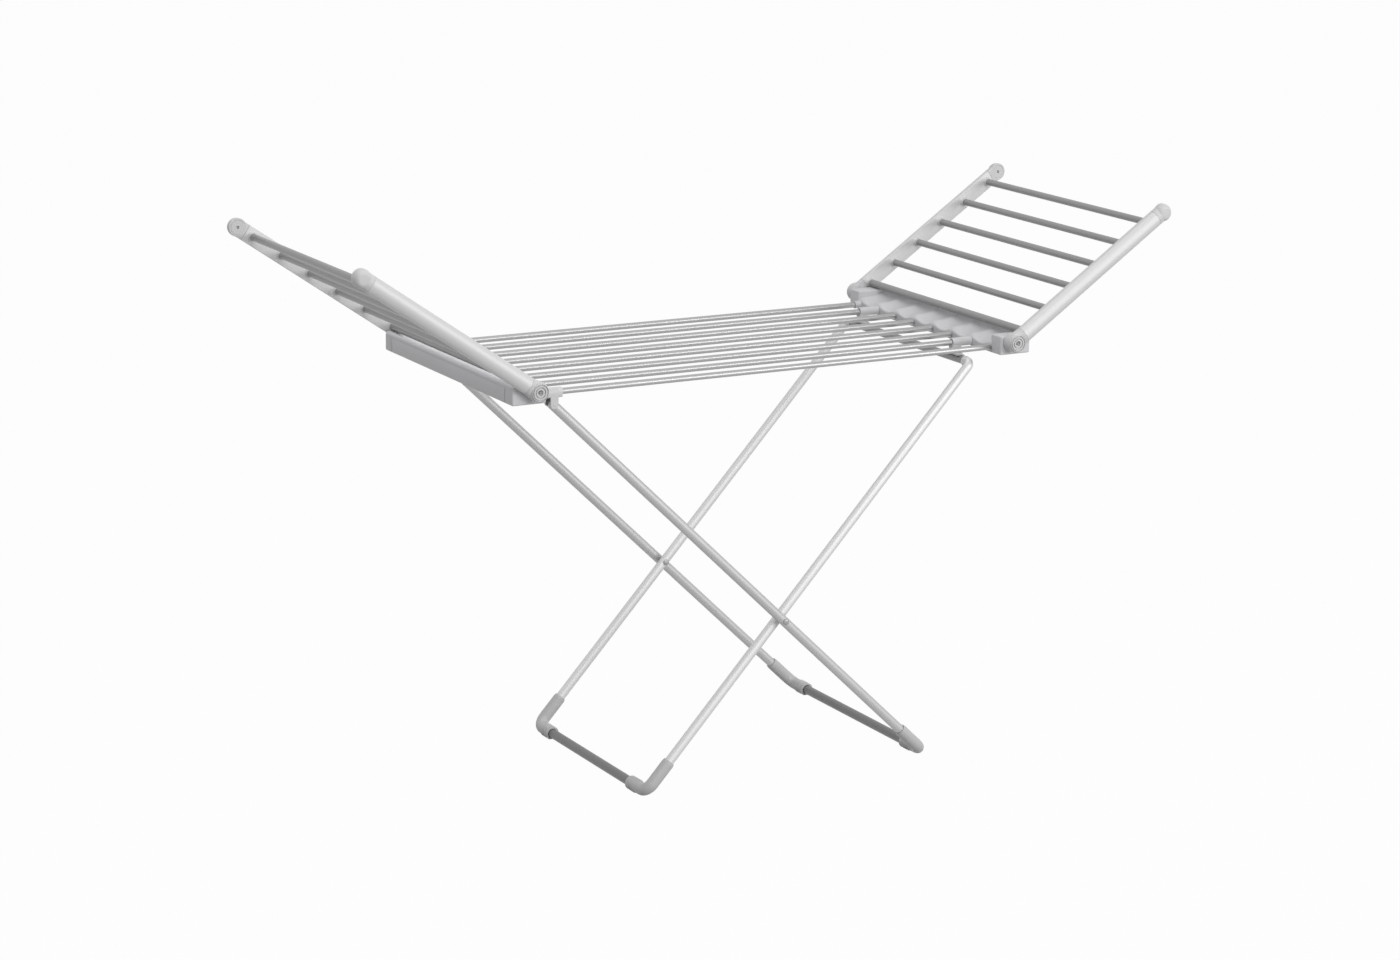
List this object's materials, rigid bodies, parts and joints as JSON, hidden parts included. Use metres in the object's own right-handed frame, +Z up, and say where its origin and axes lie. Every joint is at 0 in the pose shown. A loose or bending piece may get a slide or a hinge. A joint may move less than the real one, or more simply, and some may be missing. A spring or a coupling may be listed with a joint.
{
  "type": "heated clothes airer",
  "caption": "Free-standing winged electric clothes airer: a deck of heated rods between two end bars, two fold-up wings and crossed folding legs.",
  "frame": {"origin": "on the floor, under the middle of the deck (bottom centre of the bounding box)", "axes": "+X along the deck from the pinned-leg end to the hooked-leg end, +Y to the back, +Z up"},
  "size_m": [1.504, 0.5216, 0.9266],
  "materials": {
    "rod_aluminium": "satin drawn tube",
    "rung_aluminium": "satin drawn tube, mid grey",
    "rail_aluminium": "satin extrusion",
    "leg_aluminium": "satin drawn tube",
    "foot_tube_metal": "dark grey semi-gloss",
    "rivet_zinc": "zinc plated",
    "end_bar_plastic": "fine moulded texture, light grey",
    "pale_plastic": "fine moulded texture, pale grey",
    "cable_jacket": "silicone",
    "terminal_nylon": "natural nylon",
    "switch_plastic": "gloss black"
  },
  "bodies": {
    "deck": {"deck_rod_1": "rod_aluminium", "deck_rod_2": "rod_aluminium", "deck_rod_3": "rod_aluminium", "deck_rod_4": "rod_aluminium", "deck_rod_5": "rod_aluminium", "deck_rod_6": "rod_aluminium", "deck_rod_7": "rod_aluminium", "deck_rod_8": "rod_aluminium", "heating_cable": "cable_jacket", "terminal_block": "terminal_nylon", "left_end_base": "end_bar_plastic", "left_end_cover": "end_bar_plastic", "left_wing_pivot_front": "pale_plastic", "left_wing_pivot_back": "pale_plastic", "right_end_base": "end_bar_plastic", "right_end_cover": "end_bar_plastic", "right_wing_pivot_front": "pale_plastic", "right_wing_pivot_back": "pale_plastic", "leg_bracket_front": "pale_plastic", "leg_bracket_back": "pale_plastic", "leg_hook_front": "pale_plastic", "leg_hook_back": "pale_plastic"},
    "left_wing": {"left_wing_knuckle_front": "pale_plastic", "left_wing_rail_front": "rail_aluminium", "left_wing_cap_front": "pale_plastic", "left_wing_knuckle_back": "pale_plastic", "left_wing_rail_back": "rail_aluminium", "left_wing_cap_back": "pale_plastic", "left_wing_rung_1": "rung_aluminium", "left_wing_rung_2": "rung_aluminium", "left_wing_rung_3": "rung_aluminium", "left_wing_rung_4": "rung_aluminium", "left_wing_rung_5": "rung_aluminium", "left_wing_rung_6": "rung_aluminium"},
    "right_wing": {"right_wing_knuckle_front": "pale_plastic", "right_wing_rail_front": "rail_aluminium", "right_wing_cap_front": "pale_plastic", "right_wing_knuckle_back": "pale_plastic", "right_wing_rail_back": "rail_aluminium", "right_wing_cap_back": "pale_plastic", "right_wing_rung_1": "rung_aluminium", "right_wing_rung_2": "rung_aluminium", "right_wing_rung_3": "rung_aluminium", "right_wing_rung_4": "rung_aluminium", "right_wing_rung_5": "rung_aluminium", "right_wing_rung_6": "rung_aluminium"},
    "outer_legs": {"outer_leg_front": "leg_aluminium", "outer_leg_back": "leg_aluminium", "outer_foot_elbow_front": "pale_plastic", "outer_foot_elbow_back": "pale_plastic", "outer_foot_tube": "foot_tube_metal", "leg_rivet_front": "rivet_zinc", "leg_rivet_back": "rivet_zinc"},
    "inner_legs": {"inner_leg_front": "leg_aluminium", "inner_leg_back": "leg_aluminium", "inner_foot_elbow_front": "pale_plastic", "inner_foot_elbow_back": "pale_plastic", "inner_foot_tube": "foot_tube_metal", "inner_cross_tube": "foot_tube_metal"},
    "rocker": {"switch_rocker": "switch_plastic"}
  },
  "joints": [
    {"name": "left_wing_fold", "type": "hinge", "parent": "deck", "child": "left_wing", "pos_m": [-0.444, 0, 0.7118], "axis": [0, 1, 0], "range_deg": [0, 143.5]},
    {"name": "right_wing_fold", "type": "hinge", "parent": "deck", "child": "right_wing", "pos_m": [0.444, 0, 0.7118], "axis": [0, -1, 0], "range_deg": [0, 143.5]},
    {"name": "outer_legs_fold", "type": "hinge", "parent": "deck", "child": "outer_legs", "pos_m": [-0.4029, 0, 0.6825], "axis": [0, 1, 0], "range_deg": [0, 45.8]},
    {"name": "inner_legs_fold", "type": "hinge", "parent": "outer_legs", "child": "inner_legs", "pos_m": [0.02728, 0, 0.27464], "axis": [0, 1, 0], "range_deg": [-87.3, 0]},
    {"name": "switch_rock", "type": "hinge", "parent": "deck", "child": "rocker", "pos_m": [0.4777, 0.105, 0.6986], "axis": [0, 0, 1], "range_deg": [0, 14]}
  ],
  "couplings": [
    {"joint": "inner_legs_fold", "follows": "outer_legs_fold", "ratio": -1.903}
  ]
}
